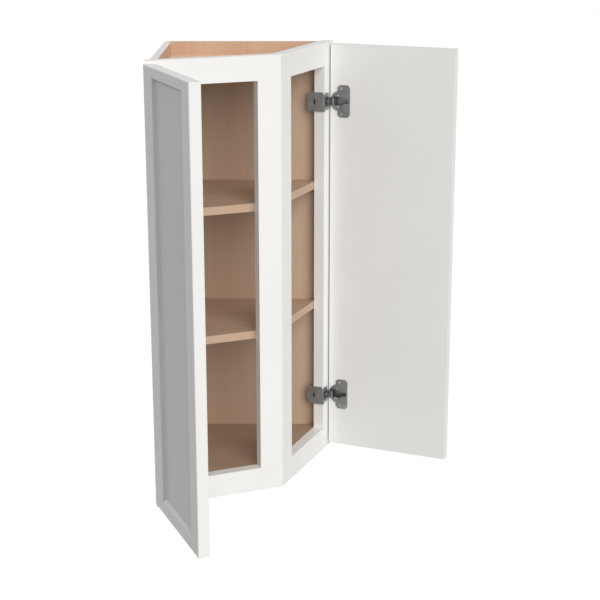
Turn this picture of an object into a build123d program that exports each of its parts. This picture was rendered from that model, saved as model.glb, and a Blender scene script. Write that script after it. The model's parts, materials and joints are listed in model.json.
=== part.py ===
from build123d import *
from math import cos, radians, sin, tan
import os

os.makedirs("parts", exist_ok=True)

# Angled wall end cabinet, in millimetres. The origin is the middle of the back, on the wall. +X runs to the
# right along the wall, -Y points into the room and +Z is up. Both doors stand open at 90 degrees.

# Overall sizes
height = 762.0  # face frame, top to bottom
plan = 304.8  # depth from the wall, and width along it
face_angle = 22.5  # how far each face is turned out of square with the wall

# Face frame
stock = 19.05  # thickness of the frame and of the doors
member = 41.3  # width of stiles and rails
dowel_radius = 4.0
dowel_length = 40.0
dowel_spacing = 20.6
dowel_clearance = 0.05
dowel_end_room = 0.3

# Case
panel = 12.0  # thickness of side, back, top and bottom
groove = 6.0  # depth of the grooves that hold the panels
side_setback = 6.35  # side panel in from the end of the frame
case_drop = 1.5  # case top below the frame's top
well_depth = 25.0  # top panel below the frame's top
floor_drop = 0.8  # bottom panel below the bottom rail's top
wall_hole_radius = 2.5
wall_hole_x = 38.1
wall_hole_spacing = 609.6

# Shelves, with the height of each top face above the frame's bottom
shelf_heights = {"upper": 512.9, "lower": 288.6}
shelf_thickness = 14.2
shelf_front_gap = 0.75  # behind the frame's rear face
shelf_gap = 0.8  # to the side and the back
pin_radius = 2.5
pin_depth = 8.0
pin_clearance = 0.05
pin_plate = 7.0  # square plate against the board
pin_plate_sheet = 0.6
pin_ledge = 8.0
pin_ledge_width = 5.0
pin_ledge_tall = 4.0
pin_seat = 2.6  # ledge above the pin's axis
pin_inset = 50.0  # pin from the corner of the case

# Doors
door_width = 228.95
door_top_reveal = 4.5  # door top below the frame's top
door_bottom_reveal = 6.6  # door bottom above the frame's bottom
door_ease = 2.0  # rounding of the outer edges
inner_ease = 1.0  # rounding of the hinge side's inner edge, which swings past the frame
recess_depth = 4.8
recess_bevel = 45.0
hinge_stile = 44.5
free_stile = 34.9
door_top_rail = 15.9
door_bottom_rail = 22.2

# Hinges: how they carry the doors
hinge_inset = 100.0  # hinge centre from the door's top and bottom
overlay = 38.0  # hinge edge past the opening, with the arm's screw in the middle of its slot
side_adjust = {"left": 1.55, "right": -1.55}
face_gap = 3.8  # closed door to frame
pin_from_edge = 7.95
pin_below_face = 7.0

# Hinges: cup
cup_centre = 20.0  # from the door's hinge edge
cup_radius = 17.5
cup_wall = 0.8
cup_depth = 11.0
cup_clearance = 0.3
plate = 1.0
plate_radius = 18.9
plate_edge = 37.6  # straight edge from the door's hinge edge
ear_start = 14.2
ear_span = 57.7
ear_clip = 4.5
mouth_radius = 16.3
mouth_height = 15.0
mouth_edge = 24.6  # wide part, where the arm's riser lies when the door is shut
screw_mouth_height = 8.4
screw_mouth_edge = 34.4  # narrow part, over the frame screw's head
cup_screw_u = 22.0
cup_screw_spacing = 45.0
cup_screw_head = 3.35
cup_screw_radius = 1.75
cup_screw_length = 11.0
screw_clearance = 0.05
hinge_pin_radius = 1.1
hinge_pin_length = 21.0
hinge_pin_clearance = 0.03

# Hinges: closing spring
spring_strip = 1.4  # square strip
spring_half = 10.3
spring_start = 11.0
spring_bar = 31.5
spring_bend = 2.5
spring_hook = 1.5
spring_seat = 0.1

# Hinges: arm
arm_sheet = 1.0
arm_half = 8.2
riser_half = 6.9
tongue_half = 6.0
eye_radius = 2.0
eye_bore = 1.15
eye_half = 5.5
riser_reach = 14.3  # riser from the hinge pin
foot_reach = 28.2  # end of the foot from the hinge pin
foot_bend = 1.0
shoulder_rise = 0.2  # where the riser narrows, above the foot's top
top_bend = 3.0
slot_width = 4.2
slot_travel = 3.1

# Hinges: frame bracket
bracket_sheet = 1.2
bracket_leg = 31.4  # behind the frame's front
bracket_stand = 2.6  # outer side of the leg, whose pressed rim meets the stile
bracket_flange = 18.0  # along the frame's front from the opening
bracket_tall = 34.0
flange_tall = 30.0
bracket_round = 5.0
flange_round = 3.0
bracket_bend = 2.0  # on the middle of the sheet
keyway_width = 3.3
keyway_height = 9.0
keyway_behind = 18.0
spot_radius = 1.2
spot_behind = 10.9
spot_below = 4.6
frame_screw_inset = 9.3  # screw from the opening
frame_screw_radius = 1.75
frame_screw_length = 14.0
frame_head_radius = 3.3
frame_head = 0.9

# The plan: the two faces meet in a vertical corner, and each side has axes along its face, out of it and up
turn = radians(face_angle)
mitre = tan(radians(45 - face_angle))
end_cut = tan(turn)
sides = ("left", "right")
face_length = plan / (cos(turn) + sin(turn))
corner = Vector(-plan / 2 + face_length * cos(turn), -plan + face_length * sin(turn), 0)
along = {"left": Vector(-cos(turn), -sin(turn), 0), "right": Vector(sin(turn), cos(turn), 0)}
outward = {"left": Vector(sin(turn), -cos(turn), 0), "right": Vector(cos(turn), -sin(turn), 0)}
upward = {"left": Vector(0, 0, 1), "right": Vector(0, 0, -1)}

# Heights
top = height / 2
bottom = -height / 2
opening_bottom = bottom + member
panel_bands = {
    "top": (top - well_depth - panel, top - well_depth),
    "bottom": (opening_bottom - floor_drop - panel, opening_bottom - floor_drop),
}
shelf_tops = {name: bottom + rise for name, rise in shelf_heights.items()}
door_top = top - door_top_reveal
door_bottom = bottom + door_bottom_reveal
door_height = door_top - door_bottom
door_middle = (door_top + door_bottom) / 2
hinge_heights = {"upper": door_top - hinge_inset, "lower": door_bottom + hinge_inset}

# Places along the face from the corner and out of it, shared by the hinges, the doors and the frame
opening_end = face_length - member
pin_s = {side: opening_end + overlay + side_adjust[side] - pin_from_edge for side in sides}
pin_o = face_gap + pin_below_face
open_s = {side: pin_s[side] - pin_below_face for side in sides}
open_o = pin_o - pin_from_edge
frame_screw_s = opening_end + frame_screw_inset

# Plan of the case
side_outer = -plan / 2 + side_setback
side_inner = side_outer + panel
groove_x = side_inner - groove
groove_y = -panel + groove


def at(side, s, o, z=0.0):
    # A point s along the face from the corner, o out of it and at height z.
    return corner + along[side] * s + outward[side] * o + Vector(0, 0, z)


def level(side, z):
    # Level plane whose x runs along the face and whose y points out of it.
    return Plane(origin=at(side, 0, 0, z), x_dir=along[side], z_dir=upward[side])


def upright(side, s, o, z):
    # Vertical plane square to the face: its x points out of the face and its z runs along it.
    return Plane(origin=at(side, s, o, z), x_dir=outward[side], z_dir=along[side])


def facing(side, s, o, z):
    # Vertical plane parallel to the face: its z points out of the face, its x runs up or down.
    return Plane(origin=at(side, s, o, z), x_dir=upward[side], z_dir=outward[side])


def crossing_x(side, o, x):
    # Where a line parallel to the face, o out of it, meets the given x.
    s = (x - at(side, 0, o).X) / along[side].X
    return at(side, s, o)


def crossing_y(side, o, y):
    # Where a line parallel to the face, o out of it, meets the given y.
    s = (y - at(side, 0, o).Y) / along[side].Y
    return at(side, s, o)


def flat_points(*points):
    return [(point.X, point.Y) for point in points]


def save(builder, name):
    builder.part.label = name
    export_step(builder.part, f"parts/{name}.step")


def pin_spots(shelf_top):
    # The shelf's six pins: two in the side, two in the back and one behind each corner stile. Each plane's z
    # points into the cabinet and its y up.
    z = shelf_top - shelf_thickness - pin_seat
    front = crossing_x("left", -stock, side_inner).Y
    end = crossing_y("right", -stock, -panel).X
    behind = (member + stock * mitre) / 2
    spots = [
        (Vector(side_inner, -panel - pin_inset, z), Vector(1, 0, 0)),
        (Vector(side_inner, front + pin_inset, z), Vector(1, 0, 0)),
        (Vector(side_inner + pin_inset, -panel, z), Vector(0, -1, 0)),
        (Vector(end - pin_inset, -panel, z), Vector(0, -1, 0)),
        (at("left", behind, -stock, z), -outward["left"]),
        (at("right", behind, -stock, z), -outward["right"]),
    ]
    return [Plane(origin=spot, x_dir=Vector(0, 0, 1).cross(way), z_dir=way) for spot, way in spots]


def drill_pin_holes():
    for shelf_top in shelf_tops.values():
        with Locations(*pin_spots(shelf_top)):
            Cylinder(
                pin_radius + pin_clearance,
                pin_depth + pin_clearance,
                align=(Align.CENTER, Align.CENTER, Align.MAX),
                mode=Mode.SUBTRACT,
            )


# Face frame: for each side two stiles and two rails, dowelled together
rail_middle = top - member / 2
dowel_heights = [
    sign * rail_middle + offset for sign in (1, -1) for offset in (dowel_spacing / 2, -dowel_spacing / 2)
]
frame_members = {
    "outer_stile": (
        [(opening_end, 0), (face_length, 0), (face_length - stock * end_cut, -stock), (opening_end, -stock)],
        0,
        height,
    ),
    "corner_stile": ([(0, 0), (member, 0), (member, -stock), (stock * mitre, -stock)], 0, height),
    "top_rail": (
        [(member, 0), (opening_end, 0), (opening_end, -stock), (member, -stock)],
        rail_middle,
        member,
    ),
    "bottom_rail": (
        [(member, 0), (opening_end, 0), (opening_end, -stock), (member, -stock)],
        -rail_middle,
        member,
    ),
}

for side in sides:
    dowel_spots = [upright(side, s, -stock / 2, z) for s in (member, opening_end) for z in dowel_heights]
    screw_spots = [facing(side, frame_screw_s, 0, z) for z in hinge_heights.values()]

    for name, (outline, middle, tall) in frame_members.items():
        with BuildPart() as frame_member:
            with BuildSketch(level(side, middle)):
                with BuildLine():
                    Polyline(*outline, close=True)
                make_face()
            extrude(amount=tall / 2, both=True)
            with Locations(*dowel_spots):
                Cylinder(
                    dowel_radius + dowel_clearance,
                    dowel_length + 2 * dowel_end_room,
                    mode=Mode.SUBTRACT,
                )
            if name == "outer_stile":
                with Locations(*screw_spots):
                    Hole(frame_screw_radius + screw_clearance, depth=frame_screw_length)
            if name == "corner_stile":
                drill_pin_holes()
        save(frame_member, f"{side}_frame_{name}")

    with BuildPart() as dowels:
        with Locations(*dowel_spots):
            Cylinder(dowel_radius, dowel_length)
    save(dowels, f"{side}_frame_dowels")

# Case: the side stands in from the frame's end, the back sits in the side's rabbet, and both are grooved for
# the top and the bottom. Every front edge is bevelled to lie on the frame's rear face.
with BuildPart() as side_panel:
    with BuildSketch(Plane.XY.offset(bottom)):
        with BuildLine():
            Polyline(
                (side_outer, 0),
                (groove_x, 0),
                (groove_x, -panel),
                (side_inner, -panel),
                *flat_points(
                    crossing_x("left", -stock, side_inner),
                    crossing_x("left", -stock, side_outer),
                ),
                close=True,
            )
        make_face()
    extrude(amount=height - case_drop)
    for low, high in panel_bands.values():
        with BuildSketch(Plane.XY.offset(low)):
            with Locations((groove_x, 0)):
                Rectangle(groove, plan, align=(Align.MIN, Align.MAX))
        extrude(amount=high - low, mode=Mode.SUBTRACT)
    drill_pin_holes()
save(side_panel, "side_panel")

with BuildPart() as back_panel:
    with BuildSketch(Plane.XY.offset(bottom)):
        with BuildLine():
            Polyline(
                (groove_x, 0),
                *flat_points(crossing_y("right", -stock, 0), crossing_y("right", -stock, -panel)),
                (groove_x, -panel),
                close=True,
            )
        make_face()
    extrude(amount=height - case_drop)
    for low, high in panel_bands.values():
        with BuildSketch(Plane.XY.offset(low)):
            with Locations((groove_x, -panel)):
                Rectangle(plan, groove, align=(Align.MIN, Align.MIN))
        extrude(amount=high - low, mode=Mode.SUBTRACT)
    drill_pin_holes()
    with BuildSketch(Plane.XZ):
        with Locations((wall_hole_x, 0)):
            with GridLocations(0, wall_hole_spacing, 1, 2):
                Circle(wall_hole_radius)
    extrude(amount=panel, mode=Mode.SUBTRACT)
save(back_panel, "back_panel")

for name, (low, high) in panel_bands.items():
    with BuildPart() as case_panel:
        with BuildSketch(Plane.XY.offset(low)):
            with BuildLine():
                Polyline(
                    (groove_x, groove_y),
                    *flat_points(
                        crossing_y("right", -stock, groove_y),
                        at("right", stock * mitre, -stock),
                        crossing_x("left", -stock, groove_x),
                    ),
                    close=True,
                )
            make_face()
        extrude(amount=high - low)
    save(case_panel, f"{name}_panel")

# Shelves, each on six pins: a round shank, a square plate with a ledge at its top, and the shelf on the ledge
shelf_front = -stock - shelf_front_gap
for name, shelf_top in shelf_tops.items():
    with BuildPart() as shelf:
        with BuildSketch(Plane.XY.offset(shelf_top - shelf_thickness)):
            with BuildLine():
                Polyline(
                    (side_inner + shelf_gap, -panel - shelf_gap),
                    *flat_points(
                        crossing_y("right", shelf_front, -panel - shelf_gap),
                        at("right", -shelf_front * mitre, shelf_front),
                        crossing_x("left", shelf_front, side_inner + shelf_gap),
                    ),
                    close=True,
                )
            make_face()
        extrude(amount=shelf_thickness)
    save(shelf, f"{name}_shelf")

    with BuildPart() as shelf_pins:
        with Locations(*pin_spots(shelf_top)):
            Cylinder(pin_radius, pin_depth, align=(Align.CENTER, Align.CENTER, Align.MAX))
            with Locations((0, pin_seat, 0)):
                Box(pin_plate, pin_plate, pin_plate_sheet, align=(Align.CENTER, Align.MAX, Align.MIN))
                Box(pin_ledge_width, pin_ledge_tall, pin_ledge, align=(Align.CENTER, Align.MAX, Align.MIN))
    save(shelf_pins, f"{name}_shelf_pins")

# Doors: plain inside, with a bevelled flat recess outside, bored for the cups and their screws
for side in sides:
    inner_face = upright(side, open_s[side], open_o, door_middle)
    outer_face = inner_face.offset(stock)
    up = upward[side].Z
    with BuildPart() as door:
        with BuildSketch(inner_face):
            Rectangle(door_width, door_height, align=(Align.MIN, Align.CENTER))
        extrude(amount=stock)
        fillet(door.faces().sort_by(Axis(inner_face.origin, along[side]))[-1].edges(), door_ease)
        hinge_edge = door.edges().filter_by(Axis.Z).sort_by_distance(inner_face.origin)[0]
        fillet(hinge_edge, inner_ease)
        recess_width = door_width - hinge_stile - free_stile
        recess_height = door_height - door_top_rail - door_bottom_rail
        with BuildSketch(outer_face):
            with Locations((hinge_stile, up * (door_bottom_rail - door_top_rail) / 2)):
                Rectangle(recess_width, recess_height, align=(Align.MIN, Align.CENTER))
        extrude(amount=-recess_depth, taper=recess_bevel, mode=Mode.SUBTRACT)
        for z in hinge_heights.values():
            bore_face = upright(side, open_s[side], open_o, z)
            with BuildSketch(bore_face):
                with Locations((cup_centre, 0)):
                    Circle(cup_radius + cup_clearance)
            extrude(amount=cup_depth + cup_wall + cup_clearance, mode=Mode.SUBTRACT)
            for offset in (cup_screw_spacing / 2, -cup_screw_spacing / 2):
                spot = at(side, open_s[side], open_o + cup_screw_u, z + offset)
                with Locations(Plane(origin=spot, x_dir=outward[side], z_dir=-along[side])):
                    CounterSinkHole(
                        cup_screw_radius + screw_clearance,
                        cup_screw_head + screw_clearance - plate,
                        depth=cup_screw_length + screw_clearance,
                        counter_sink_angle=90,
                    )
    save(door, f"{side}_door")


def hinge_bracket(side, z):
    # Bent sheet: a leg on the opening's edge, pressed out within a rim, and a flange on the frame's front.
    leg_s = opening_end - bracket_stand
    leg_face = upright(side, leg_s, 0, z)
    rim_front = bracket_sheet / 2 - bracket_bend
    with BuildPart() as bracket:
        with BuildSketch(level(side, z)):
            with BuildLine():
                FilletPolyline(
                    (leg_s + bracket_sheet / 2, -bracket_leg),
                    (leg_s + bracket_sheet / 2, bracket_sheet / 2),
                    (opening_end + bracket_flange, bracket_sheet / 2),
                    radius=bracket_bend,
                )
            trace(line_width=bracket_sheet)
        extrude(amount=bracket_tall / 2, both=True)
        with BuildSketch(leg_face.offset(bracket_sheet)):
            with Locations((-bracket_leg, 0)):
                Rectangle(bracket_leg + rim_front, bracket_tall, align=(Align.MIN, Align.CENTER))
            with Locations((bracket_sheet - bracket_leg, 0)):
                Rectangle(
                    bracket_leg,
                    bracket_tall - 2 * bracket_sheet,
                    align=(Align.MIN, Align.CENTER),
                    mode=Mode.SUBTRACT,
                )
        extrude(amount=bracket_stand - bracket_sheet)
        shoulder = (bracket_tall - flange_tall) / 2
        for end in (bracket_tall / 2, -bracket_tall / 2):
            with BuildSketch(level(side, z + end)):
                with Locations((opening_end + bracket_bend, 0)):
                    Rectangle(
                        bracket_flange,
                        bracket_sheet,
                        align=(Align.MIN, Align.MIN),
                    )
            extrude(amount=shoulder, both=True, mode=Mode.SUBTRACT)
        for depth, radius in (
            (bracket_leg - bracket_sheet, bracket_round - bracket_sheet),
            (bracket_leg, bracket_round),
        ):
            rear = bracket.edges().filter_by(Axis(at(side, 0, 0), along[side])).filter_by(
                lambda edge: abs((edge.center() - at(side, 0, -depth)).dot(outward[side])) < 0.01
            )
            fillet(rear, radius)
        flange_end = at(side, opening_end + bracket_flange, 0)
        front = bracket.edges().filter_by(Axis(at(side, 0, 0), outward[side])).filter_by(
            lambda edge: abs((edge.center() - flange_end).dot(along[side])) < 0.01
        )
        fillet(front, flange_round)
        with BuildSketch(leg_face):
            with Locations((-keyway_behind, 0)):
                SlotOverall(keyway_height, keyway_width, rotation=90)
            with Locations((-spot_behind, -spot_below * upward[side].Z)):
                Circle(spot_radius)
        extrude(amount=bracket_sheet, mode=Mode.SUBTRACT)
        with Locations(facing(side, frame_screw_s, bracket_sheet, z)):
            Hole(slot_width / 2, depth=bracket_sheet)
    return bracket


def hinge_arm(side, z):
    # Bent strip: a slotted foot on the bracket, a narrower riser and a rounded bend to the eye on the pin.
    foot_o = bracket_sheet + arm_sheet / 2
    tongue_o = pin_o + eye_radius - arm_sheet / 2
    riser_s = pin_s[side] - riser_reach
    with BuildPart() as arm:
        with BuildSketch(level(side, z)):
            with BuildLine():
                FilletPolyline(
                    (pin_s[side] - foot_reach, foot_o),
                    (riser_s, foot_o),
                    (riser_s, tongue_o),
                    (pin_s[side], tongue_o),
                    radius=(foot_bend, top_bend),
                )
            trace(line_width=arm_sheet)
        extrude(amount=arm_half, both=True)
        for flip in (1, -1):
            with BuildSketch(facing(side, riser_s, bracket_sheet + arm_sheet + shoulder_rise, z)):
                with BuildLine():
                    Polyline(
                        (flip * (arm_half + arm_sheet), -arm_sheet),
                        (flip * riser_half, -arm_sheet),
                        (flip * riser_half, top_bend / 2),
                        (flip * tongue_half, top_bend * 1.5),
                        (flip * tongue_half, riser_reach + eye_radius),
                        (flip * (arm_half + arm_sheet), riser_reach + eye_radius),
                        close=True,
                    )
                make_face()
            extrude(amount=pin_o, mode=Mode.SUBTRACT)
        with BuildSketch(level(side, z)):
            with Locations((pin_s[side], pin_o)):
                Circle(eye_radius)
        extrude(amount=eye_half, both=True)
        with BuildSketch(level(side, z)):
            with Locations((pin_s[side], pin_o)):
                Circle(eye_bore)
        extrude(amount=arm_half, both=True, mode=Mode.SUBTRACT)
        slot_s = frame_screw_s + side_adjust[side]
        with BuildSketch(facing(side, slot_s, bracket_sheet, z)):
            SlotOverall(slot_travel + slot_width, slot_width, rotation=90)
        extrude(amount=arm_sheet, mode=Mode.SUBTRACT)
    return arm


def hinge_cup(side, z):
    # Stamped cup: a round well and, on the door's face, a plate with two ears and an open mouth for the arm.
    face = upright(side, open_s[side], open_o, z)
    with BuildPart() as cup:
        with BuildSketch(face.offset(-plate)):
            with Locations((ear_start, 0)):
                ears = Rectangle(plate_edge - ear_start, ear_span, align=(Align.MIN, Align.CENTER))
            chamfer(ears.vertices(), ear_clip)
            with Locations((cup_centre, 0)):
                Circle(plate_radius)
            with Locations((plate_edge, 0)):
                Rectangle(plate_radius, ear_span, align=(Align.MIN, Align.CENTER), mode=Mode.SUBTRACT)
        extrude(amount=plate)
        with BuildSketch(face):
            with Locations((cup_centre, 0)):
                Circle(cup_radius)
        extrude(amount=cup_depth + cup_wall)
        with BuildSketch(face):
            with Locations((cup_centre, 0)):
                Circle(cup_radius - cup_wall)
        extrude(amount=cup_depth, mode=Mode.SUBTRACT)
        with BuildSketch(face.offset(-plate)):
            with Locations((mouth_edge, 0)):
                Rectangle(2 * mouth_radius, mouth_height, align=(Align.MAX, Align.CENTER))
            with Locations((screw_mouth_edge, 0)):
                Rectangle(2 * mouth_radius, screw_mouth_height, align=(Align.MAX, Align.CENTER))
            with Locations((cup_centre, 0)):
                Circle(mouth_radius, mode=Mode.INTERSECT)
        extrude(amount=plate, mode=Mode.SUBTRACT)
        with BuildSketch(level(side, z)):
            with Locations((pin_s[side], pin_o)):
                Circle(hinge_pin_radius + hinge_pin_clearance)
        extrude(amount=cup_radius, both=True, mode=Mode.SUBTRACT)
        for offset in (cup_screw_spacing / 2, -cup_screw_spacing / 2):
            spot = at(side, open_s[side] - plate, open_o + cup_screw_u, z + offset)
            with Locations(Plane(origin=spot, x_dir=outward[side], z_dir=-along[side])):
                CounterSinkHole(
                    cup_screw_radius + screw_clearance,
                    cup_screw_head + screw_clearance,
                    depth=2 * plate,
                    counter_sink_angle=90,
                )
    return cup


def hinge_pin(side, z):
    with BuildPart() as pin:
        with BuildSketch(level(side, z)):
            with Locations((pin_s[side], pin_o)):
                Circle(hinge_pin_radius)
        extrude(amount=hinge_pin_length / 2, both=True)
    return pin


def hinge_spring(side, z):
    # Closing spring: a U of square strip on the cup's floor, its two ends turned in beside the arm's eye.
    depth = cup_depth - spring_strip / 2 - spring_seat
    face = upright(side, open_s[side] + depth, open_o, z)
    hook_u = spring_start - spring_hook
    hook_y = spring_half - spring_hook
    with BuildPart() as spring:
        with BuildLine(face):
            path = FilletPolyline(
                (hook_u, hook_y - spring_hook),
                (hook_u, spring_half),
                (spring_bar, spring_half),
                (spring_bar, -spring_half),
                (hook_u, -spring_half),
                (hook_u, -hook_y + spring_hook),
                radius=(spring_hook, spring_bend, spring_bend, spring_hook),
            )
        with BuildSketch(Plane(origin=path @ 0, x_dir=outward[side], z_dir=path % 0)):
            Rectangle(spring_strip, spring_strip)
        sweep()
    return spring


def frame_screw(side, z):
    # Low-headed screw through the arm's slot and the bracket's flange into the outer stile.
    under_head = bracket_sheet + arm_sheet
    with BuildPart() as screw:
        with Locations(facing(side, frame_screw_s, under_head, z)):
            Cylinder(frame_head_radius, frame_head, align=(Align.CENTER, Align.CENTER, Align.MIN))
            Cylinder(
                frame_screw_radius,
                frame_screw_length + under_head - 1,
                align=(Align.CENTER, Align.CENTER, Align.MAX),
            )
    return screw


def cup_screws(side, z):
    # Two countersunk screws, flush with the cup's plate.
    offsets = (cup_screw_spacing / 2, -cup_screw_spacing / 2)
    spots = [at(side, open_s[side] - plate, open_o + cup_screw_u, z + offset) for offset in offsets]
    head = cup_screw_head - cup_screw_radius
    with BuildPart() as screws:
        with BuildSketch(Plane.XZ) as half:
            with BuildLine():
                Polyline(
                    (0, 0),
                    (cup_screw_head, 0),
                    (cup_screw_radius, -head),
                    (cup_screw_radius, -cup_screw_length),
                    (0, -cup_screw_length),
                    close=True,
                )
            make_face()
        one = revolve(half.sketch, axis=Axis.Z, mode=Mode.PRIVATE)
        with Locations(*[Plane(origin=spot, x_dir=outward[side], z_dir=-along[side]) for spot in spots]):
            add(one)
    return screws


hinge_pieces = {
    "bracket": hinge_bracket,
    "arm": hinge_arm,
    "cup": hinge_cup,
    "pin": hinge_pin,
    "spring": hinge_spring,
    "frame_screw": frame_screw,
    "cup_screws": cup_screws,
}
for side in sides:
    for place, z in hinge_heights.items():
        for name, make_piece in hinge_pieces.items():
            save(make_piece(side, z), f"{side}_{place}_hinge_{name}")
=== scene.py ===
import json
import math

import bpy
from mathutils import Matrix, Vector

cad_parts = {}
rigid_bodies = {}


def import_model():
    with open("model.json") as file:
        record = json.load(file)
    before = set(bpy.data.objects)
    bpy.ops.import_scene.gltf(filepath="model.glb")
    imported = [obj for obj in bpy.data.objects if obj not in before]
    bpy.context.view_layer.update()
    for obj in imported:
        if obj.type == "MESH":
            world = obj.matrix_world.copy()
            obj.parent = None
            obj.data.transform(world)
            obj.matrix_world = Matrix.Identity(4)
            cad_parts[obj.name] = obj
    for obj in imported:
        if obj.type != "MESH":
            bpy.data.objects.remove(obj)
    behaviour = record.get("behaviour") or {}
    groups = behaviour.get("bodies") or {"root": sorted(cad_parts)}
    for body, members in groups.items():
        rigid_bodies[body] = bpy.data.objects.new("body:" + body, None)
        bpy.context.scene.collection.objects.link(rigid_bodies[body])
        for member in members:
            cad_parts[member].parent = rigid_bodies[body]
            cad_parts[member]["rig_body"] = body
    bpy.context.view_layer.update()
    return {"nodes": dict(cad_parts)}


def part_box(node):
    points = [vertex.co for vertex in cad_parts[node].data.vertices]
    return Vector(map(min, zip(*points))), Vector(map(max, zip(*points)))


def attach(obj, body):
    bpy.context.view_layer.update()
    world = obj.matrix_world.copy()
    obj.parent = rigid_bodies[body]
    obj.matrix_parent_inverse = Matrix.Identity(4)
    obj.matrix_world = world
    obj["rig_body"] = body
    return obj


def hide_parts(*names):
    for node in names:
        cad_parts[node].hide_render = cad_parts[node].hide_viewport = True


# An angled wall end cabinet in sprayed white and clear birch, both doors open, in a pale studio. Lengths in
# the dictionaries are mm and angles degrees.

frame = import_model()
nodes = frame["nodes"]
bodyOf = {name: piece["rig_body"] for name, piece in nodes.items()}
sides = ("left", "right")
places = ("upper", "lower")
mm = 0.001
print("cabinet loaded:", len(nodes), "pieces")


# Plan of the face frame, as the joiner lays it out from the wall
faceFrame = {
    "plan": 304.8,
    "tall": 762,
    "turn": 22.5,
    "stile": 41.3,
    "edgeRound": 0.5,
}
turn = math.radians(faceFrame["turn"])
faceLength = faceFrame["plan"] / (math.cos(turn) + math.sin(turn))
cornerPoint = Vector((
    -faceFrame["plan"] / 2 + faceLength * math.cos(turn),
    -faceFrame["plan"] + faceLength * math.sin(turn),
    0.0,
))
along = {
    "left": Vector((-math.cos(turn), -math.sin(turn), 0.0)),
    "right": Vector((math.sin(turn), math.cos(turn), 0.0)),
}
outward = {
    "left": Vector((math.sin(turn), -math.cos(turn), 0.0)),
    "right": Vector((math.cos(turn), -math.sin(turn), 0.0)),
}


def facePoint(side, alongMm, outMm, upMm):
    # A point by its distance from the frame's corner, its distance in front of the face and its height
    return (cornerPoint + along[side] * alongMm + outward[side] * outMm + Vector((0, 0, upMm))) * mm


# Materials

def linearColour(hexCode):
    # An sRGB hex value as linear red, green, blue and alpha
    channels = [int(hexCode[i:i + 2], 16) / 255 for i in (1, 3, 5)]
    return [c / 12.92 if c <= 0.04045 else ((c + 0.055) / 1.055) ** 2.4 for c in channels] + [1.0]


def addNode(owner, kind, settings=None, links=None):
    # A setting is one of the node's own, or else the value of the socket with that name or number
    node = owner.node_tree.nodes.new(kind)
    for key, value in (settings or {}).items():
        if isinstance(key, str) and hasattr(node, key):
            setattr(node, key, value)
        else:
            node.inputs[key].default_value = value
    for key, source in (links or {}).items():
        owner.node_tree.links.new(source, node.inputs[key])
    return node


def startMaterial(name):
    # An empty material, and the coordinates that its patterns read
    material = bpy.data.materials.new(name)
    material.use_nodes = True
    material.node_tree.nodes.clear()
    return material, addNode(material, "ShaderNodeTexCoord")


def finishMaterial(material, settings, links):
    shader = addNode(material, "ShaderNodeBsdfPrincipled", settings, links)
    addNode(material, "ShaderNodeOutputMaterial", links={"Surface": shader.outputs["BSDF"]})
    return material


def perMm(sizeMm):
    # Texture scale for a pattern of this size
    return 1.0 / (sizeMm * mm)


def setRamp(node, stops):
    ramp = node.color_ramp
    while len(ramp.elements) > len(stops):
        ramp.elements.remove(ramp.elements[-1])
    while len(ramp.elements) < len(stops):
        ramp.elements.new(0.5)
    for element, (position, hexCode) in zip(ramp.elements, stops):
        element.position = position
        element.color = linearColour(hexCode)


def cloudedTone(material, place, size, detail, stops):
    # A soft cloud between two near tones, which keeps a finish from looking dead even
    cloud = addNode(material, "ShaderNodeTexNoise", {"Scale": perMm(size), "Detail": detail},
                    {"Vector": place.outputs["Object"]})
    tone = addNode(material, "ShaderNodeValToRGB", links={"Fac": cloud.outputs["Fac"]})
    setRamp(tone, stops)
    return cloud, tone


def drawnNoise(material, place, grain, across, lengthwise, settings):
    # Noise drawn out lengthwise on the axes that grain marks with a 1
    stretch = [perMm(lengthwise if axis else across) for axis in grain]
    drawn = addNode(material, "ShaderNodeMapping", {"Scale": stretch}, {"Vector": place.outputs["Object"]})
    return addNode(material, "ShaderNodeTexNoise", {"Scale": 1.0, **settings},
                   {"Vector": drawn.outputs["Vector"]})


paint = {
    "whole": ((0.35, "#F1F0ED"), (0.65, "#F3F2EF")),
    # The routed tone goes on the floor of each door's recess, a shade darker than the whole one. The cove
    # tone is painted shade, for the recess walls that face down or towards the hinge.
    "routed": ((0.35, "#DDDCDA"), (0.65, "#E1E0DE")),
    "coveShade": ((0.35, "#BCBBB9"), (0.65, "#C1C0BE")),
    "cloud": 160,  # soft patches about a hand long
    "peel": 1.6,  # the spray's orange peel
    "peelHeight": 0.012,
    "peelStrength": 0.35,
    "poreAcross": 0.9,
    "poreAlong": 60,
    "poreHeight": 0.01,
    "poreStrength": 0.3,
    "sheen": (0.4, 0.5),
    "lacquerIor": 1.47,
}


def sprayedPaint(name, grain=(0, 0, 1), tones="whole"):
    # Satin lacquer sprayed on hardwood: soft sheen, fine orange peel and a trace of grain under the film
    material, place = startMaterial(name)
    cloud, tone = cloudedTone(material, place, paint["cloud"], 3.0, paint[tones])
    peel = addNode(material, "ShaderNodeTexNoise", {"Scale": perMm(paint["peel"]), "Detail": 1.0},
                   {"Vector": place.outputs["Object"]})
    pores = drawnNoise(material, place, grain, paint["poreAcross"], paint["poreAlong"], {"Detail": 2.0})
    peelBump = addNode(material, "ShaderNodeBump",
                       {"Strength": paint["peelStrength"], "Distance": paint["peelHeight"] * mm},
                       {"Height": peel.outputs["Fac"]})
    poreBump = addNode(material, "ShaderNodeBump",
                       {"Strength": paint["poreStrength"], "Distance": paint["poreHeight"] * mm},
                       {"Height": pores.outputs["Fac"], "Normal": peelBump.outputs["Normal"]})
    sheen = addNode(material, "ShaderNodeMapRange",
                    {"To Min": paint["sheen"][0], "To Max": paint["sheen"][1]},
                    {"Value": cloud.outputs["Fac"]})
    return finishMaterial(material, {"IOR": paint["lacquerIor"]}, {
        "Base Color": tone.outputs["Color"],
        "Roughness": sheen.outputs["Result"],
        "Normal": poreBump.outputs["Normal"],
    })


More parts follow.
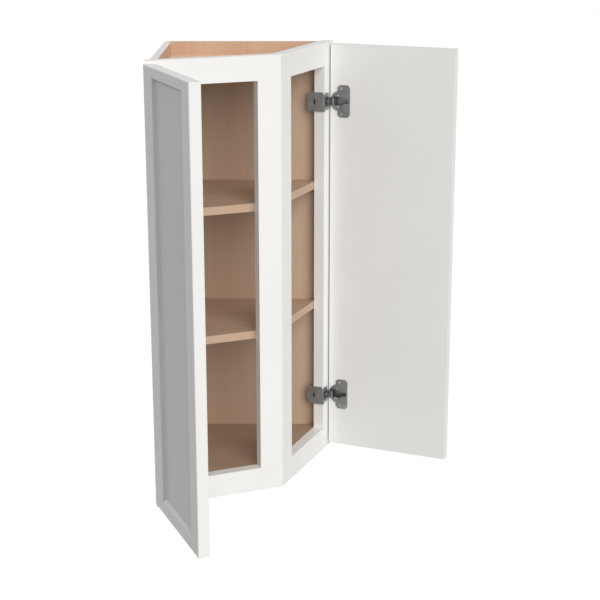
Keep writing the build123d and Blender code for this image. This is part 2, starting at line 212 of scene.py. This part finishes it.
veneer = {
    # Painted light and shade: the first two tones are lighter, for faces in the open well and its floor; the
    # next two are greyer, for the inside and, deeper still, the cabinet's floor
    "wellLit": ((0.3, "#BF997C"), (0.5, "#C8A487"), (0.7, "#CFAD92")),
    "wellFloorLit": ((0.3, "#E8CEB5"), (0.5, "#EED6BF"), (0.7, "#F2DBC5")),
    "inside": ((0.3, "#B2967E"), (0.5, "#B99E86"), (0.7, "#BFA48D")),
    "floorShaded": ((0.3, "#A38A73"), (0.5, "#A9917A"), (0.7, "#AF9781")),
    "plies": ((0.02, "#DDBFA2"), (0.1, "#B98A6C"), (0.48, "#B98A6C"), (0.56, "#DDBFA2")),
    "bandPale": "#C2A48B",
    "insideBelow": 355,  # just under the top panel's upper face
    "wallSkin": 1,  # a face this near the wall counts as the back's outside
    "fibreAcross": 1.1,
    "fibreAlong": 70,
    "fibreShare": 0.35,
    "fibreHeight": 0.02,
    "fibreStrength": 0.4,
    "figureAcross": 30,
    "figureAlong": 500,
    "plySheet": 2.4,
    "levelFrom": 0.5,  # how far a face must look up or down to count as level
    "dullness": 0.5,
    "dullnessSwing": 0.06,
    "lacquerIor": 1.46,
}


def veneerColour(material, place, grain, upper="wellLit", lower="inside"):
    # Rotary-cut birch under clear lacquer: soft broad figure with fine fibres along the grain. The upper tone
    # goes on
    #     # faces in the open well on top and is painted light; the lower one goes on the inside and on the
    #     face on the
    #     # wall and is painted shade.
    fibres = drawnNoise(material, place, grain, veneer["fibreAcross"], veneer["fibreAlong"], {"Detail": 3.0})
    figure = drawnNoise(material, place, grain, veneer["figureAcross"], veneer["figureAlong"],
                        {"Detail": 4.0, "Distortion": 0.6})
    blend = addNode(material, "ShaderNodeMix", {"data_type": "FLOAT", 0: veneer["fibreShare"]},
                    {2: figure.outputs["Fac"], 3: fibres.outputs["Fac"]})
    tones = []
    for stops in (veneer[upper], veneer[lower]):
        tone = addNode(material, "ShaderNodeValToRGB", links={"Fac": blend.outputs[0]})
        setRamp(tone, stops)
        tones.append(tone)
    axes = addNode(material, "ShaderNodeSeparateXYZ", links={"Vector": place.outputs["Object"]})
    inside = addNode(material, "ShaderNodeMath", {"operation": "LESS_THAN", 1: veneer["insideBelow"] * mm},
                     {0: axes.outputs["Z"]})
    wall = addNode(material, "ShaderNodeMath", {"operation": "GREATER_THAN", 1: -veneer["wallSkin"] * mm},
                   {0: axes.outputs["Y"]})
    shaded = addNode(material, "ShaderNodeMath", {"operation": "MAXIMUM"},
                     {0: inside.outputs["Value"], 1: wall.outputs["Value"]})
    colour = addNode(material, "ShaderNodeMix", {"data_type": "RGBA"},
                     {0: shaded.outputs["Value"], 6: tones[0].outputs["Color"], 7: tones[1].outputs["Color"]})
    return colour.outputs[2], fibres


def lacqueredWood(material, colour, fibres, dullness=veneer["dullness"]):
    # Clear lacquer that follows the fibres: half dull, and a little uneven from fibre to fibre
    relief = addNode(material, "ShaderNodeBump",
                     {"Strength": veneer["fibreStrength"], "Distance": veneer["fibreHeight"] * mm},
                     {"Height": fibres.outputs["Fac"]})
    swing = veneer["dullnessSwing"]
    sheen = addNode(material, "ShaderNodeMapRange", {"To Min": dullness - swing, "To Max": dullness + swing},
                    {"Value": fibres.outputs["Fac"]})
    return finishMaterial(material, {"IOR": veneer["lacquerIor"]}, {
        "Base Color": colour,
        "Roughness": sheen.outputs["Result"],
        "Normal": relief.outputs["Normal"],
    })


def facingUp(material, place):
    # 1 where a face looks up or down, 0 on upright faces
    facing = addNode(material, "ShaderNodeSeparateXYZ", links={"Vector": place.outputs["Normal"]})
    upright = addNode(material, "ShaderNodeMath", {"operation": "ABSOLUTE"}, {0: facing.outputs["Z"]})
    level = addNode(material, "ShaderNodeMath", {"operation": "GREATER_THAN", 1: veneer["levelFrom"]},
                    {0: upright.outputs["Value"]})
    return level.outputs["Value"]


def veneeredBoard(name, upper, lower):
    # Top and bottom panels: painted light on the top panel's face in the well, deeper painted shade on the
    # bottom
    material, place = startMaterial(name)
    colour, fibres = veneerColour(material, place, (1, 0, 0), upper, lower)
    return lacqueredWood(material, colour, fibres)


def plywoodBack(name):
    # Back: clear birch faces, with the sheets of the plywood showing on its sawn top and bottom edges
    material, place = startMaterial(name)
    colour, fibres = veneerColour(material, place, (0, 0, 1))
    axes = addNode(material, "ShaderNodeSeparateXYZ", links={"Vector": place.outputs["Object"]})
    sheet = addNode(material, "ShaderNodeMath", {"operation": "DIVIDE", 1: 2 * veneer["plySheet"] * mm},
                    {0: axes.outputs["Y"]})
    turnOver = addNode(material, "ShaderNodeMath", {"operation": "FRACT"}, {0: sheet.outputs["Value"]})
    plies = addNode(material, "ShaderNodeValToRGB", links={"Fac": turnOver.outputs["Value"]})
    setRamp(plies, veneer["plies"])
    both = addNode(material, "ShaderNodeMix", {"data_type": "RGBA"},
                   {0: facingUp(material, place), 6: colour, 7: plies.outputs["Color"]})
    return lacqueredWood(material, both.outputs[2], fibres)


foil = {
    "tone": "#F3F2EF",
    "skin": 0.4,  # how far the white reaches in from the outer face
    "edge": 0.3,  # and down from the top edge
    "dullness": 0.47,
}


def whiteFacedBoard(name, outerX, topZ):
    # Side panel: white foil on the outer face and the top edge, clear birch inside
    material, place = startMaterial(name)
    colour, fibres = veneerColour(material, place, (0, 0, 1))
    axes = addNode(material, "ShaderNodeSeparateXYZ", links={"Vector": place.outputs["Object"]})
    outer = addNode(material, "ShaderNodeMath", {"operation": "LESS_THAN", 1: outerX + foil["skin"] * mm},
                    {0: axes.outputs["X"]})
    edge = addNode(material, "ShaderNodeMath", {"operation": "GREATER_THAN", 1: topZ - foil["edge"] * mm},
                   {0: axes.outputs["Z"]})
    white = addNode(material, "ShaderNodeMath", {"operation": "MAXIMUM"},
                    {0: outer.outputs["Value"], 1: edge.outputs["Value"]})
    both = addNode(material, "ShaderNodeMix", {"data_type": "RGBA", 7: linearColour(foil["tone"])},
                   {0: white.outputs["Value"], 6: colour})
    return lacqueredWood(material, both.outputs[2], fibres, foil["dullness"])


def edgeBandedBoard(name):
    # Shelf: birch faces with a solid band glued on its upright edges
    material, place = startMaterial(name)
    colour, fibres = veneerColour(material, place, (1, 0, 0))
    both = addNode(material, "ShaderNodeMix", {"data_type": "RGBA", 6: linearColour(veneer["bandPale"])},
                   {0: facingUp(material, place), 7: colour})
    return lacqueredWood(material, both.outputs[2], fibres)


nickel = {
    # Bracket, cup and arm are plated alike; their greys are set apart to match how bright each part looks,
    # which is painted light and shade: the bracket is lightest, and the arm darkest, which also damps its
    # highlight.
    "bracket": ((0.35, "#A6AAAC"), (0.65, "#B7BBBD")),
    "cup": ((0.35, "#969A9C"), (0.65, "#A7ABAD")),
    "arm": ((0.35, "#6C6D6E"), (0.65, "#7C7D7E")),
    # A bright near-mirror tone for painted highlights: the screw recesses, the dimples and the bracket's top
    # corner
    "recess": ((0.35, "#D2D3D3"), (0.65, "#E0E1E1")),
    "shine": {"bracket": 0.36, "cup": 0.36, "arm": 0.38, "recess": 0.12},
    "duller": 0.16,  # added to the roughness in the marks
    "cloud": 9,
    "scratchAcross": 0.35,
    "scratchAlong": 14,
    "scratchHeight": 0.01,
    "scratchStrength": 0.25,
}


def stampedNickel(name, part):
    # Nickel plate on pressed steel: grey, half dull, with fine drawing marks up the strip
    shine = nickel["shine"][part]
    material, place = startMaterial(name)
    _, tone = cloudedTone(material, place, nickel["cloud"], 3.0, nickel[part])
    marks = drawnNoise(material, place, (0, 0, 1), nickel["scratchAcross"], nickel["scratchAlong"],
                       {"Detail": 2.0})
    dullness = addNode(material, "ShaderNodeMapRange", {"To Min": shine, "To Max": shine + nickel["duller"]},
                       {"Value": marks.outputs["Fac"]})
    relief = addNode(material, "ShaderNodeBump",
                     {"Strength": nickel["scratchStrength"], "Distance": nickel["scratchHeight"] * mm},
                     {"Height": marks.outputs["Fac"]})
    return finishMaterial(material, {"Metallic": 1.0}, {
        "Base Color": tone.outputs["Color"],
        "Roughness": dullness.outputs["Result"],
        "Normal": relief.outputs["Normal"],
    })


plain = {
    # Near-black tone for the sheet of painted shade behind each keyway
    "steel": ((0.4, "#1B1B1C"), (0.6, "#232324")),
    "steelCloud": 4,
    "steelDullness": 0.6,
    "beech": ((0.4, "#C79F77"), (0.6, "#D8B48C")),
    "beechFleck": 2.5,
    "beechDullness": 0.65,
    "ior": 1.5,
}


def keywayShadeSheet(name):
    # A near-black sheet behind the keyway, painted shade, with a faint cloud in its tone
    material, place = startMaterial(name)
    _, tone = cloudedTone(material, place, plain["steelCloud"], 2.0, plain["steel"])
    return finishMaterial(material, {"Roughness": plain["steelDullness"], "IOR": plain["ior"]},
                          {"Base Color": tone.outputs["Color"]})


def plainBeech(name):
    # Bare beech dowel rod: pink-brown with short flecks
    material, place = startMaterial(name)
    _, tone = cloudedTone(material, place, plain["beechFleck"], 3.0, plain["beech"])
    return finishMaterial(material, {"Roughness": plain["beechDullness"], "IOR": plain["ior"]},
                          {"Base Color": tone.outputs["Color"]})


uprightPaint = sprayedPaint("sprayedWhiteLacquerUpright")
levelPaint = sprayedPaint("sprayedWhiteLacquerAcross", grain=(1, 1, 0))
routedPaint = sprayedPaint("sprayedWhiteLacquerRouted", tones="routed")
# Painted shade for the walls of the door recesses
coveShadePaint = sprayedPaint("sprayedWhiteLacquerCoveShade", tones="coveShade")
# Painted light on the top panel's face in the well, and painted shade on the bottom panel
topVeneer = veneeredBoard("birchLitInWell", "wellFloorLit", "inside")
floorVeneer = veneeredBoard("birchShadedFloor", "inside", "floorShaded")
plywood = plywoodBack("birchPlywood")
sideBoard = whiteFacedBoard("whiteFacedBirchBoard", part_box("side_panel")[0].x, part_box("side_panel")[1].z)
shelfBoard = edgeBandedBoard("edgeBandedBirch")
partNickel = {part: stampedNickel(f"nickelPlated_{part}", part) for part in nickel["shine"]}
keywayShadeMaterial = keywayShadeSheet("keywayShadeSheet")
dowelBeech = plainBeech("bareBeech")
print("materials mixed")


# Wooden pieces, each with its finish and the slightly softened edges that sanding and paint leave
woodPieces = {
    "side_panel": (sideBoard, 0.3),
    "back_panel": (plywood, 0.3),
    "top_panel": (topVeneer, 0.3),
    "bottom_panel": (floorVeneer, 0.3),
    "upper_shelf": (shelfBoard, 0.5),
    "lower_shelf": (shelfBoard, 0.5),
}
for side in sides:
    for stile in ("outer_stile", "corner_stile"):
        woodPieces[f"{side}_frame_{stile}"] = (uprightPaint, faceFrame["edgeRound"])
    for rail in ("top_rail", "bottom_rail"):
        woodPieces[f"{side}_frame_{rail}"] = (levelPaint, faceFrame["edgeRound"])

softening = {
    "weldWithin": 0.005,
    "flatWithin": 0.5,
    "segments": 3,
    "sharperThan": 30,  # only edges turned more than this are softened
    "smoothBelow": 35,
}


def cleanCopy(nodeName, pieceName):
    # A copy of a piece with its loose triangles welded into whole faces
    bpy.ops.object.select_all(action="DESELECT")
    source = nodes[nodeName]
    piece = source.copy()
    piece.data = source.data.copy()
    piece.name = piece.data.name = pieceName
    piece.parent = None
    for key in list(piece.keys()):
        del piece[key]
    bpy.context.scene.collection.objects.link(piece)
    piece.select_set(True)
    bpy.context.view_layer.objects.active = piece
    bpy.ops.object.mode_set(mode="EDIT")
    bpy.ops.mesh.select_all(action="SELECT")
    bpy.ops.mesh.remove_doubles(threshold=softening["weldWithin"] * mm)
    bpy.ops.mesh.dissolve_limited(angle_limit=math.radians(softening["flatWithin"]))
    bpy.ops.object.mode_set(mode="OBJECT")
    return piece


def setPiece(piece, nodeName, material):
    # The piece's finish, the body it moves with and the CAD piece it stands for
    piece.data.materials.clear()
    piece.data.materials.append(material)
    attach(piece, bodyOf[nodeName])
    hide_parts(nodeName)


def softenEdges(piece, edgeRound):
    # A small rounding wherever two faces meet at an edge
    ease = piece.modifiers.new("softEdge", "BEVEL")
    ease.width = edgeRound * mm
    ease.segments = softening["segments"]
    ease.limit_method = "ANGLE"
    ease.angle_limit = math.radians(softening["sharperThan"])
    ease.use_clamp_overlap = True
    bpy.context.view_layer.objects.active = piece
    bpy.ops.object.modifier_apply(modifier=ease.name)
    keepFlat(piece)


def keepFlat(piece):
    # Smooth only the rounded edges, so that the wide faces shade dead flat
    bpy.context.view_layer.objects.active = piece
    bpy.ops.object.shade_smooth_by_angle(angle=math.radians(softening["smoothBelow"]))
    flat = piece.modifiers.new("flatFaces", "WEIGHTED_NORMAL")
    flat.weight = 100
    flat.keep_sharp = True
    bpy.ops.object.modifier_apply(modifier=flat.name)


for name, (material, edgeRound) in woodPieces.items():
    board = cleanCopy(name, f"softened_{name}")
    softenEdges(board, edgeRound)
    setPiece(board, name, material)
print("boards softened:", len(woodPieces))


# Doors: a flat panel routed into the outer face, whose floor has a lacquer tone a shade darker than the
# frame.
# The walls of the recess at the top and on the hinge side are painted darker still, as painted shade.
door = {
    "edgeRound": 0.35,
    "stileMin": 30,
    "railMin": 12,
    "recess": (0.5, 5.1),  # depths between which a face belongs to the recess
    "flatFrom": 0.98,
    "wallFrom": 0.3,
}
for side in sides:
    name = f"{side}_door"
    leaf = cleanCopy(name, f"softened_{name}")
    softenEdges(leaf, door["edgeRound"])
    setPiece(leaf, name, uprightPaint)
    leaf.data.materials.append(routedPaint)
    leaf.data.materials.append(coveShadePaint)
    spots = [vertex.co / mm - cornerPoint for vertex in leaf.data.vertices]
    outerFace = max(spot.dot(along[side]) for spot in spots)
    reach = [spot.dot(outward[side]) for spot in spots]
    rise = [spot.z for spot in spots]
    for face in leaf.data.polygons:
        spot = face.center / mm - cornerPoint
        depth = outerFace - spot.dot(along[side])
        inPanel = min(reach) + door["stileMin"] < spot.dot(outward[side]) < max(reach) - door["stileMin"]
        inPanel = inPanel and min(rise) + door["railMin"] < spot.z < max(rise) - door["railMin"]
        if not inPanel or not door["recess"][0] < depth < door["recess"][1]:
            continue
        # The recess floor takes the routed tone; walls facing down or towards the hinge take the
        # painted-shade cove tone
        if face.normal.dot(along[side]) > door["flatFrom"]:
            face.material_index = 1
        elif face.normal.z < -door["wallFrom"] or face.normal.dot(outward[side]) > door["wallFrom"]:
            face.material_index = 2
print("doors finished")


# Hinges: pressed parts with their rolled edges, and driven cross-head screws
pressed = {
    "edgeRound": 0.28,
    "bendFrom": 0.15,  # a face slanted more than this lies on the bend
    # height of the painted highlight on the bracket's top corner
    "highlightTall": 3.4,
}


def scoreCorner(piece):
    # An edge round the bracket, where the painted highlight on its top corner begins
    top = max(vertex.co.z for vertex in piece.data.vertices)
    bpy.ops.object.mode_set(mode="EDIT")
    bpy.ops.mesh.select_all(action="SELECT")
    bpy.ops.mesh.bisect(plane_co=(0, 0, top - pressed["highlightTall"] * mm), plane_no=(0, 0, 1))
    bpy.ops.object.mode_set(mode="OBJECT")


def finishBend(piece, side):
    # The bend takes the darker arm tone as painted shade, which damps its highlight; its top corner a painted
    # highlight
    piece.data.materials.append(partNickel["arm"])
    piece.data.materials.append(partNickel["recess"])
    top = max(vertex.co.z for vertex in piece.data.vertices)
    for face in piece.data.polygons:
        slant = min(abs(face.normal.dot(along[side])), abs(face.normal.dot(outward[side])))
        if slant > pressed["bendFrom"]:
            face.material_index = 2 if face.center.z > top - pressed["highlightTall"] * mm else 1


screwHead = {
    "edgeRound": 0.18,
    "crossReach": 4.7,
    "crossWidth": 1.3,
    "crossDepth": {"frame_screw": 0.75, "cup_screws": 1.7},
    "crossTurn": {"frame_screw": 24, "cup_screws": 38},
    "nextTurn": 31,  # the lower screw of a pair stopped this much farther round
    "faceSkin": 0.05,
    "apart": 8,  # a piece that spreads more than this each way has two heads
    "rimSkin": 0.03,
    "depthShare": 1.1,
}


def headSpots(piece, way):
    # The middle of each screw head in a piece, from the points that lie farthest out
    points = [vertex.co.copy() for vertex in piece.data.vertices]
    edge = max(point.dot(way) for point in points)
    rim = [point for point in points if edge - point.dot(way) < screwHead["faceSkin"] * mm]
    middle = (min(point.z for point in rim) + max(point.z for point in rim)) / 2
    spread = max(point.z for point in rim) - middle
    if spread < screwHead["apart"] * mm:
        return [sum(rim, Vector()) / len(rim)]
    halves = ([point for point in rim if point.z > middle], [point for point in rim if point.z < middle])
    return [sum(half, Vector()) / len(half) for half in halves]


def turnedTo(spot, way, spin):
    # Matrix that puts a piece's own z along way at a spot, spun round it
    up = Vector((0, 0, 1))
    across = up.cross(way).normalized()
    axes = Matrix((across, way.cross(across), way)).transposed().to_4x4()
    return Matrix.Translation(spot) @ axes @ Matrix.Rotation(math.radians(spin), 4, "Z")


def cutCross(piece, spot, way, depth, spin):
    # The driver's recess: two crossed bars, cut out of the head and then thrown away
    bpy.ops.object.select_all(action="DESELECT")
    barSize = Matrix.Diagonal((screwHead["crossReach"] * mm, screwHead["crossWidth"] * mm, 2 * depth * mm, 1))
    bars = []
    for quarter in (0, 90):
        bpy.ops.mesh.primitive_cube_add(size=1)
        bar = bpy.context.object
        bar.data.transform(barSize)
        bar.data.transform(turnedTo(spot, way, spin + quarter))
        bars.append(bar)
    for bar in bars:
        cut = piece.modifiers.new("crossRecess", "BOOLEAN")
        cut.operation = "DIFFERENCE"
        cut.solver = "EXACT"
        cut.object = bar
        bpy.context.view_layer.objects.active = piece
        bpy.ops.object.modifier_apply(modifier=cut.name)
    for bar in bars:
        bpy.data.objects.remove(bar, do_unlink=True)


def paintRecessGlint(piece, spot, way, depth):
    # The recess takes the bright recess tone, a painted glint
    piece.data.materials.append(partNickel["recess"])
    deepest = screwHead["depthShare"] * depth * mm
    for face in piece.data.polygons:
        reach = face.center - spot
        below = -reach.dot(way)
        aside = (reach + way * below).length
        if screwHead["rimSkin"] * mm < below < deepest and aside < screwHead["crossReach"] / 2 * mm:
            face.material_index = len(piece.data.materials) - 1


# Small parts, each shaped once and copied: the dimples beside a mouth, and a dark sheet of painted shade
# behind
# # a keyway
dimpleSize = {
    "radius": 1.15,
    "height": 0.45,
    "skirt": 0.05,  # the cut catches the ball's ring of points nearest below this
    "smoothBelow": 40,
    "across": 9.9,
    "back": 13.8,
}
stripSize = {
    "size": (6.2, 12.0, 0.4),
    "edgeRound": 0.1,
    "stand": 0.8,
    "back": 18.0,
}


def shapedDimple():
    # A low round dimple: the top of a flattened ball, closed underneath
    bpy.ops.object.select_all(action="DESELECT")
    bpy.ops.mesh.primitive_uv_sphere_add(segments=24, ring_count=12, radius=1)
    dimple = bpy.context.object
    size = dimpleSize["radius"] * mm
    dimple.data.transform(Matrix.Diagonal((size, size, dimpleSize["height"] * mm, 1)))
    bpy.ops.object.mode_set(mode="EDIT")
    bpy.ops.mesh.select_all(action="SELECT")
    bpy.ops.mesh.bisect(plane_co=(0, 0, -dimpleSize["skirt"] * mm), plane_no=(0, 0, 1),
                        use_fill=True, clear_inner=True)
    bpy.ops.object.mode_set(mode="OBJECT")
    bpy.ops.object.shade_smooth_by_angle(angle=math.radians(dimpleSize["smoothBelow"]))
    # The dimples take the bright recess tone, a painted highlight
    dimple.data.materials.append(partNickel["recess"])
    return dimple


def shapedStrip():
    # The dark sheet of painted shade that closes a keyway, with its sheared edges eased
    bpy.ops.object.select_all(action="DESELECT")
    bpy.ops.mesh.primitive_cube_add(size=1)
    strip = bpy.context.object
    strip.data.transform(Matrix.Diagonal((*[size * mm for size in stripSize["size"]], 1)))
    softenEdges(strip, stripSize["edgeRound"])
    strip.data.materials.append(keywayShadeMaterial)
    return strip


def fitCopy(model, pieceName, spot, way, body):
    # A copy with its own mesh, turned to look along way from its spot
    piece = model.copy()
    piece.data = model.data.copy()
    piece.name = piece.data.name = pieceName
    bpy.context.scene.collection.objects.link(piece)
    piece.data.transform(turnedTo(spot, way, 0))
    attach(piece, body)


def fitSmallParts(side, height):
    # The strip lies between the bracket's leg and the stile, and a dimple stands on each side of the mouth
    name = f"{side}_{height}_hinge"
    low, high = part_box(f"{name}_bracket")
    middle = (low.z + high.z) / 2 / mm
    spot = facePoint(side, faceLength - faceFrame["stile"] - stripSize["stand"], -stripSize["back"], middle)
    fitCopy(stripModel, f"{name}_keyway_shade_sheet", spot, -along[side], bodyOf[f"{name}_bracket"])
    points = [vertex.co / mm - cornerPoint for vertex in nodes[f"{name}_cup"].data.vertices]
    face = min(point.dot(along[side]) for point in points)
    near = min(point.dot(outward[side]) for point in points)
    for index, sign in enumerate((1, -1)):
        spot = facePoint(side, face, near + dimpleSize["back"], middle + sign * dimpleSize["across"])
        fitCopy(dimpleModel, f"{name}_dimple_{index + 1}", spot, -along[side], bodyOf[f"{name}_cup"])


dimpleModel = shapedDimple()
stripModel = shapedStrip()
for side in sides:
    for height in places:
        for part in ("bracket", "arm", "cup"):
            name = f"{side}_{height}_hinge_{part}"
            sheet = cleanCopy(name, f"pressed_{name}")
            if part == "bracket":
                scoreCorner(sheet)
            softenEdges(sheet, pressed["edgeRound"])
            setPiece(sheet, name, partNickel[part])
            if part == "bracket":
                finishBend(sheet, side)
        for part, way in (("frame_screw", outward[side]), ("cup_screws", -along[side])):
            name = f"{side}_{height}_hinge_{part}"
            depth = screwHead["crossDepth"][part]
            screw = cleanCopy(name, f"driven_{name}")
            spots = headSpots(screw, way)
            softenEdges(screw, screwHead["edgeRound"])
            for index, spot in enumerate(spots):
                spin = screwHead["crossTurn"][part] + screwHead["nextTurn"] * index
                cutCross(screw, spot, way, depth, spin)
            keepFlat(screw)
            setPiece(screw, name, partNickel["arm" if part == "frame_screw" else "cup"])
            for spot in spots:
                paintRecessGlint(screw, spot, way, depth)
        fitSmallParts(side, height)
for model in (dimpleModel, stripModel):
    bpy.data.objects.remove(model, do_unlink=True)
print("hinges pressed and screwed:", len(sides) * len(places))


# Hidden hardware keeps its own shape
for name, piece in nodes.items():
    if name.endswith(("_pin", "_spring", "_pins", "_dowels")):
        piece.data.materials.clear()
        piece.data.materials.append(dowelBeech if name.endswith("_dowels") else partNickel["arm"])
print("hidden hardware finished")


# Studio
studio = {
    "floorDrop": 1370,
    "floorSize": 24000,
    "floorTone": "#B2B2B1",
    "floorLift": 0.72,
    "key": 2.22,
    "keySize": 50,
    "keyTurn": 25,
    "keyRise": 25,
    "fill": 0.37,
}


def paleFloor():
    # Matt grey paper, lifted to white for the camera and for mirrored rays alone
    material = bpy.data.materials.new("paleStudioFloor")
    material.use_nodes = True
    material.node_tree.nodes.clear()
    rays = addNode(material, "ShaderNodeLightPath")
    seen = addNode(material, "ShaderNodeMath", {"operation": "MAXIMUM"},
                   {0: rays.outputs["Is Camera Ray"], 1: rays.outputs["Is Glossy Ray"]})
    lift = addNode(material, "ShaderNodeMath", {"operation": "MULTIPLY", 1: studio["floorLift"]},
                   {0: seen.outputs["Value"]})
    matte = addNode(material, "ShaderNodeBsdfDiffuse", {"Color": linearColour(studio["floorTone"])})
    glow = addNode(material, "ShaderNodeEmission", {"Color": (1, 1, 1, 1)},
                   {"Strength": lift.outputs["Value"]})
    both = addNode(material, "ShaderNodeAddShader",
                   links={0: matte.outputs["BSDF"], 1: glow.outputs["Emission"]})
    addNode(material, "ShaderNodeOutputMaterial", links={"Surface": both.outputs["Shader"]})
    return material


bpy.ops.object.select_all(action="DESELECT")
bpy.ops.mesh.primitive_plane_add(size=studio["floorSize"] * mm)
floor = bpy.context.object
floor.name = "studioFloor"
floor.data.transform(Matrix.Translation((0, 0, (-faceFrame["tall"] / 2 - studio["floorDrop"]) * mm)))
floor.data.materials.append(paleFloor())

bpy.ops.object.light_add(type="SUN", rotation=(
    math.radians(90 - studio["keyRise"]), 0, math.radians(studio["keyTurn"])))
keyLight = bpy.context.object
keyLight.name = "keyLight"
keyLight.data.energy = studio["key"]
keyLight.data.angle = math.radians(studio["keySize"])

# The world fills the shadows softly, and is plain white where it is seen, mirrored or seen through something
world = bpy.data.worlds.new("softStudio")
bpy.context.scene.world = world
world.use_nodes = True
world.node_tree.nodes.clear()
rays = addNode(world, "ShaderNodeLightPath")
seenByCamera = addNode(world, "ShaderNodeMath", {"operation": "MAXIMUM"},
                       {0: rays.outputs["Is Camera Ray"], 1: rays.outputs["Is Transmission Ray"]})
seenAtAll = addNode(world, "ShaderNodeMath", {"operation": "MAXIMUM"},
                    {0: seenByCamera.outputs["Value"], 1: rays.outputs["Is Glossy Ray"]})
level = addNode(world, "ShaderNodeMapRange", {"To Min": studio["fill"], "To Max": 1.0},
                {"Value": seenAtAll.outputs["Value"]})
sky = addNode(world, "ShaderNodeBackground", {"Color": (1, 1, 1, 1)}, {"Strength": level.outputs["Result"]})
addNode(world, "ShaderNodeOutputWorld", links={"Surface": sky.outputs["Background"]})

# Camera in front of the cabinet, above its top and looking down
camera = {
    "place": (100.1, -2639.3, 662.4),
    "down": 16.09,
    "turn": 0.14,
    "roll": 0.03,
    "lens": 88.38,
    "sensor": 36,
}
bpy.ops.object.camera_add(
    location=[value * mm for value in camera["place"]],
    rotation=(math.radians(90 - camera["down"]), math.radians(camera["roll"]), math.radians(camera["turn"])),
)
viewer = bpy.context.object
viewer.data.lens = camera["lens"]
viewer.data.sensor_width = camera["sensor"]
bpy.context.scene.camera = viewer
bpy.context.scene.view_settings.view_transform = "Standard"
print("studio set")
